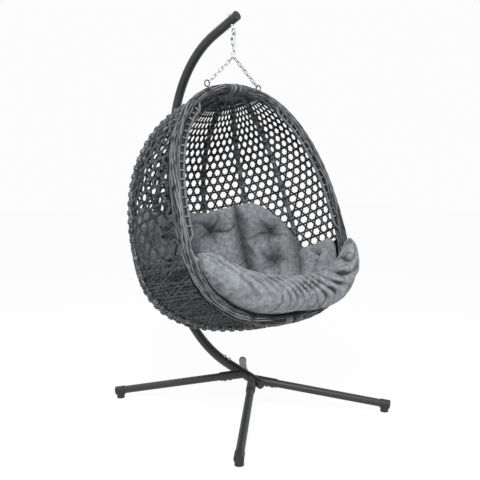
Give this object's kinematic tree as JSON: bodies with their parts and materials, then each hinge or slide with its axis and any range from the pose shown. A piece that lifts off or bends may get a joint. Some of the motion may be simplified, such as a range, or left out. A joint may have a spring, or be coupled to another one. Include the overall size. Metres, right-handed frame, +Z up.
{
  "type": "hanging egg chair",
  "caption": "Egg-shaped woven basket seat with a cushion, hung by a link and chains from a C-shaped tubular stand on splayed legs.",
  "frame": {"origin": "centre of the whole chair's bounding box, on the floor", "axes": "+Z up, the basket's open side faces -Y, +X to the right of a viewer who looks into the basket"},
  "size_m": [1.106, 1.2523, 1.9678],
  "materials": {
    "powder_coat": "matt black powder coat on steel tube",
    "plastic_cap": "moulded black plastic",
    "zinc_steel": "zinc-plated steel",
    "grey_sleeve": "grey moulded sleeve over the link's screw",
    "dark_steel": "dark steel wire",
    "frame_steel": "charcoal powder coat",
    "wrapped_wicker": "synthetic wicker wrapped round the frame",
    "woven_wicker": "open woven synthetic wicker",
    "cushion_fabric": "heathered grey woven polyester, tufted"
  },
  "bodies": {
    "stand": {"hub": "powder_coat", "lower_pole": "powder_coat", "upper_pole": "powder_coat", "hub_end_cap": "plastic_cap", "pole_tip_cap": "plastic_cap", "leg_front_left": "powder_coat", "leg_front_right": "powder_coat", "leg_rear_left": "powder_coat", "leg_rear_right": "powder_coat", "foot_front_left": "plastic_cap", "foot_front_right": "plastic_cap", "foot_rear_left": "plastic_cap", "foot_rear_right": "plastic_cap", "leg_screws": "zinc_steel", "pole_bolts": "zinc_steel", "pole_nuts": "zinc_steel", "eye_bolt": "zinc_steel", "eye_washer": "zinc_steel", "eye_nut": "zinc_steel"},
    "quick_link": {"quick_link": "zinc_steel"},
    "sleeve": {"screw_sleeve": "grey_sleeve"},
    "upper_link": {"upper_link": "zinc_steel"},
    "chains": {"apex_link": "zinc_steel", "chain_left": "zinc_steel", "chain_right": "zinc_steel"},
    "basket": {"ring_left": "dark_steel", "ring_right": "dark_steel", "rim_left": "wrapped_wicker", "rim_right": "wrapped_wicker", "rim_coupler_top": "frame_steel", "rim_coupler_bottom": "frame_steel", "crown_plate": "frame_steel", "base_plate": "frame_steel", "rib_inner_left": "wrapped_wicker", "rib_inner_right": "wrapped_wicker", "rib_middle_left": "wrapped_wicker", "rib_middle_right": "wrapped_wicker", "rib_outer_left": "wrapped_wicker", "rib_outer_right": "wrapped_wicker", "weave_back": "woven_wicker", "weave_rear_left": "woven_wicker", "weave_rear_right": "woven_wicker", "weave_flank_left": "woven_wicker", "weave_flank_right": "woven_wicker", "weave_side_left": "woven_wicker", "weave_side_right": "woven_wicker", "seat_cushion": "cushion_fabric", "front_roll": "cushion_fabric"}
  },
  "joints": [
    {"name": "link_swing", "type": "hinge", "parent": "stand", "child": "quick_link", "pos_m": [0, 0.01065, 1.86669], "axis": [1, 0, 0], "range_deg": [-15, 2]},
    {"name": "sleeve_travel", "type": "slide", "parent": "quick_link", "child": "sleeve", "axis": [0, 0, 1], "range_m": [0, 0.011]},
    {"name": "side_swing", "type": "hinge", "parent": "quick_link", "child": "upper_link", "pos_m": [0, 0.01065, 1.81099], "axis": [0, 1, 0], "range_deg": [-8, 8]},
    {"name": "chain_spin", "type": "hinge", "parent": "upper_link", "child": "chains", "pos_m": [0, 0.01065, 1.78309], "axis": [0, 0, 1], "range_deg": [-20, 20]},
    {"name": "basket_rock", "type": "hinge", "parent": "chains", "child": "basket", "pos_m": [0, 0.01065, 1.62015], "axis": [1, 0, 0], "range_deg": [-10, 1.5]}
  ]
}
